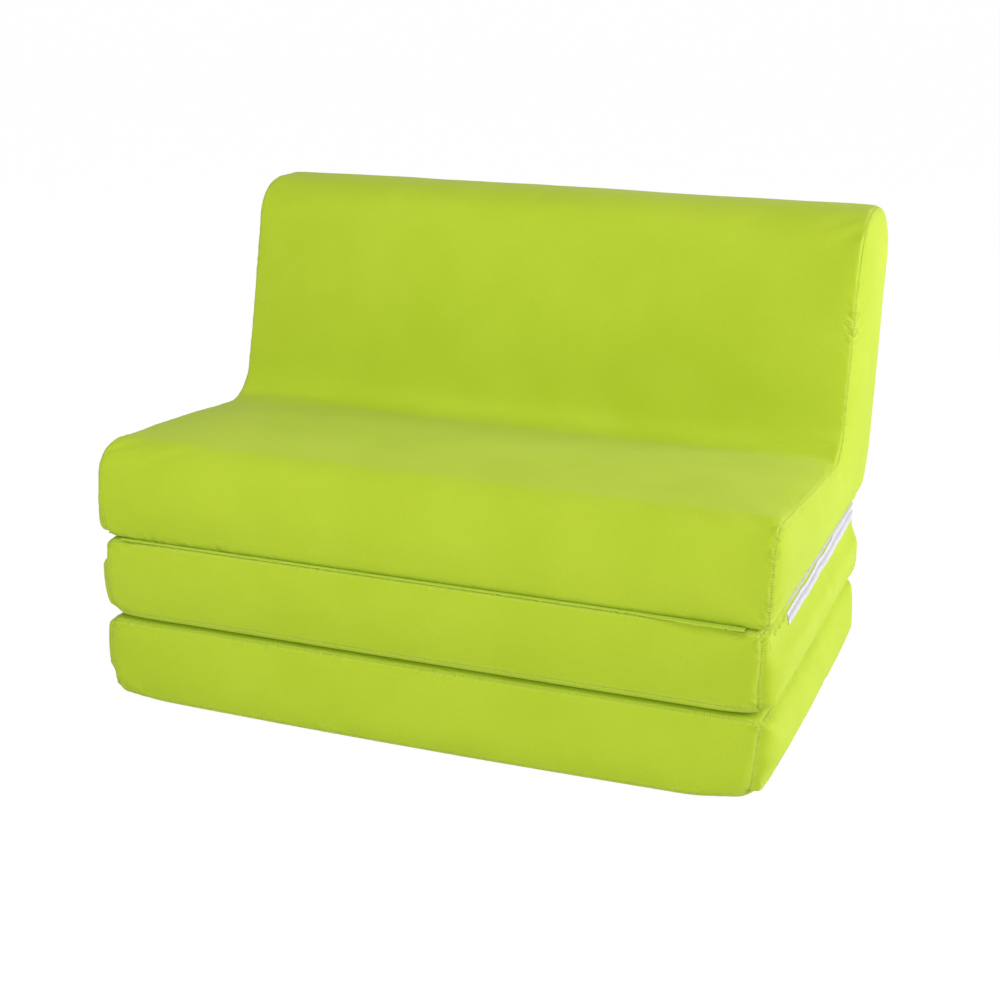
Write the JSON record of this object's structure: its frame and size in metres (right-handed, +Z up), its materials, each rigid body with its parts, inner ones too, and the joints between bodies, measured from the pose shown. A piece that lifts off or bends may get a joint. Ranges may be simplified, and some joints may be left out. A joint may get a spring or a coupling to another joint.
{
  "type": "fold-out foam sofa bed",
  "caption": "Two-seat foam sofa bed in lime-green cloth: an L-shaped seat and back unit over two mattress sections that unfold in a Z, with zipped covers.",
  "frame": {"origin": "on the floor under the middle of the folded sofa's bounding box", "axes": "+Z up, -Y the side that the sitter's legs hang over, X across the sofa's width"},
  "size_m": [1.216, 0.8732, 0.8546],
  "materials": {
    "cloth": "matte",
    "foam": "matte",
    "zip_tape": "matte",
    "zip_coil": "satin",
    "zip_metal": "satin"
  },
  "bodies": {
    "bottom_mattress": {"bottom_foam": "foam", "bottom_cover_front": "cloth", "bottom_cover_top": "cloth", "bottom_cover_rear": "cloth", "bottom_cover_bottom": "cloth", "bottom_cover_right": "cloth", "bottom_cover_left": "cloth", "bottom_zip_outer_tape": "zip_tape", "bottom_zip_coil": "zip_coil", "bottom_zip_inner_tape": "zip_tape", "bottom_zip_end_tab_right": "cloth", "bottom_zip_end_tab_left": "cloth", "rear_hinge_lower_leaf": "cloth"},
    "middle_mattress": {"middle_foam": "foam", "middle_cover_front": "cloth", "middle_cover_top": "cloth", "middle_cover_rear": "cloth", "middle_cover_bottom": "cloth", "middle_cover_right": "cloth", "middle_cover_left": "cloth", "middle_zip_outer_tape": "zip_tape", "middle_zip_coil": "zip_coil", "middle_zip_inner_tape": "zip_tape", "middle_zip_end_tab_right": "cloth", "middle_zip_end_tab_left": "cloth", "rear_hinge_upper_leaf": "cloth", "front_hinge_lower_leaf": "cloth"},
    "seat_unit": {"seat_foam": "foam", "back_foam": "foam", "seat_cover_wrap": "cloth", "seat_cover_right_end": "cloth", "seat_cover_left_end": "cloth", "seat_cover_base": "cloth", "seat_zip_outer_tape": "zip_tape", "seat_zip_coil": "zip_coil", "seat_zip_inner_tape": "zip_tape", "seat_zip_end_tab_right": "cloth", "seat_zip_end_tab_left": "cloth", "front_hinge_upper_leaf": "cloth"},
    "bottom_slider": {"bottom_zip_slider": "zip_metal"},
    "bottom_pull": {"bottom_zip_pull": "zip_metal"},
    "middle_slider": {"middle_zip_slider": "zip_metal"},
    "middle_pull": {"middle_zip_pull": "zip_metal"},
    "seat_slider": {"seat_zip_slider": "zip_metal"}
  },
  "joints": [
    {"name": "rear_fold", "type": "hinge", "parent": "bottom_mattress", "child": "middle_mattress", "pos_m": [0, 0.30552, 0.15015], "axis": [-1, 0, 0], "range_deg": [0, 180]},
    {"name": "front_fold", "type": "hinge", "parent": "middle_mattress", "child": "seat_unit", "pos_m": [0, -0.43678, 0.30045], "axis": [1, 0, 0], "range_deg": [0, 180]},
    {"name": "bottom_zip_slide", "type": "slide", "parent": "bottom_mattress", "child": "bottom_slider", "axis": [0, 1, 0], "range_m": [0, 0.56]},
    {"name": "bottom_pull_flip", "type": "hinge", "parent": "bottom_slider", "child": "bottom_pull", "pos_m": [-0.59765, -0.31163, 0.0226], "axis": [0, 0, 1], "range_deg": [0, 180]},
    {"name": "middle_zip_slide", "type": "slide", "parent": "middle_mattress", "child": "middle_slider", "axis": [0, 1, 0], "range_m": [0, 0.56]},
    {"name": "middle_pull_flip", "type": "hinge", "parent": "middle_slider", "child": "middle_pull", "pos_m": [-0.59765, -0.31163, 0.2777], "axis": [0, 0, 1], "range_deg": [0, 180]},
    {"name": "seat_zip_slide", "type": "slide", "parent": "seat_unit", "child": "seat_slider", "axis": [0, 1, 0], "range_m": [0, 0.53]}
  ]
}
